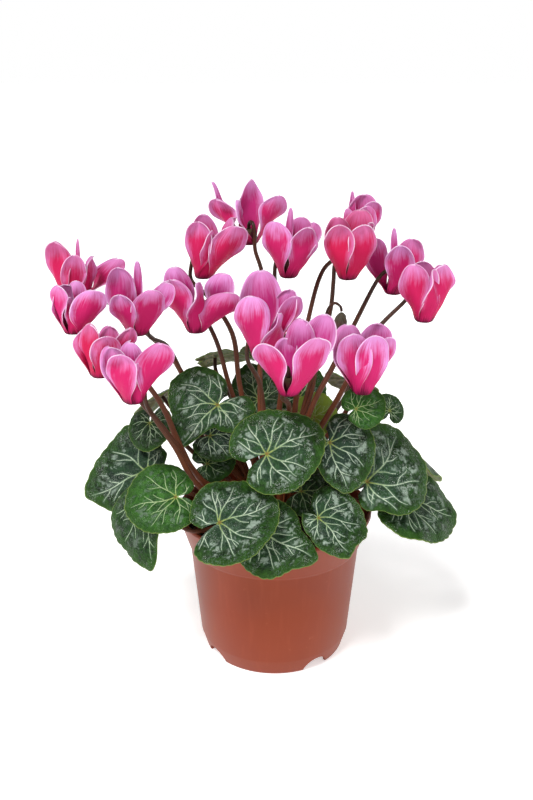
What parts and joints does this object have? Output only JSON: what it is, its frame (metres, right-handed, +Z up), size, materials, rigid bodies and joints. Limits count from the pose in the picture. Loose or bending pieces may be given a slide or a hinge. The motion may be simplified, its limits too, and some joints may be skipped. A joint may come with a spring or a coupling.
{
  "type": "potted cyclamen",
  "caption": "Florist's cyclamen in a plain tapered grower's pot: silver-veined leaves in a mound round one tuber, with pink turned-back blooms nodding over them",
  "frame": {"origin": "on the surface it stands on, under the middle of the plant's box; the pot's upright axis passes x 11 mm, y -7.5 mm", "axes": "+Z up along the pot's axis, +X to the right and +Y away from the viewer as the plant faces the viewer"},
  "size_m": [0.2476, 0.1852, 0.2834],
  "materials": {
    "pot_plastic": "satin",
    "potting_soil": "matte",
    "stalk_skin": "satin",
    "leaf_skin": "satin",
    "petal": "matte",
    "bud_skin": "satin"
  },
  "bodies": {
    "root": {"pot": "pot_plastic", "soil": "potting_soil", "tuber_with_stalks": "stalk_skin", "leaf_01": "leaf_skin", "leaf_02": "leaf_skin", "leaf_03": "leaf_skin", "leaf_04": "leaf_skin", "leaf_05": "leaf_skin", "leaf_06": "leaf_skin", "leaf_07": "leaf_skin", "leaf_08": "leaf_skin", "leaf_09": "leaf_skin", "leaf_10": "leaf_skin", "leaf_11": "leaf_skin", "leaf_12": "leaf_skin", "leaf_13": "leaf_skin", "leaf_14": "leaf_skin", "leaf_15": "leaf_skin", "leaf_16": "leaf_skin", "leaf_17": "leaf_skin", "leaf_18": "leaf_skin", "leaf_19": "leaf_skin", "leaf_20": "leaf_skin", "leaf_21": "leaf_skin", "leaf_22": "leaf_skin", "leaf_23": "leaf_skin", "leaf_24": "leaf_skin", "leaf_25": "leaf_skin", "leaf_26": "leaf_skin", "leaf_27": "leaf_skin", "leaf_28": "leaf_skin", "leaf_29": "leaf_skin", "leaf_30": "leaf_skin", "flower_01": "petal", "flower_02": "petal", "flower_03": "petal", "flower_04": "petal", "flower_05": "petal", "flower_06": "petal", "flower_07": "petal", "flower_08": "petal", "flower_09": "petal", "flower_10": "petal", "flower_11": "petal", "flower_12": "petal", "flower_13": "petal", "flower_14": "petal", "flower_15": "petal", "flower_16": "petal", "bud_01": "bud_skin"}
  },
  "joints": []
}
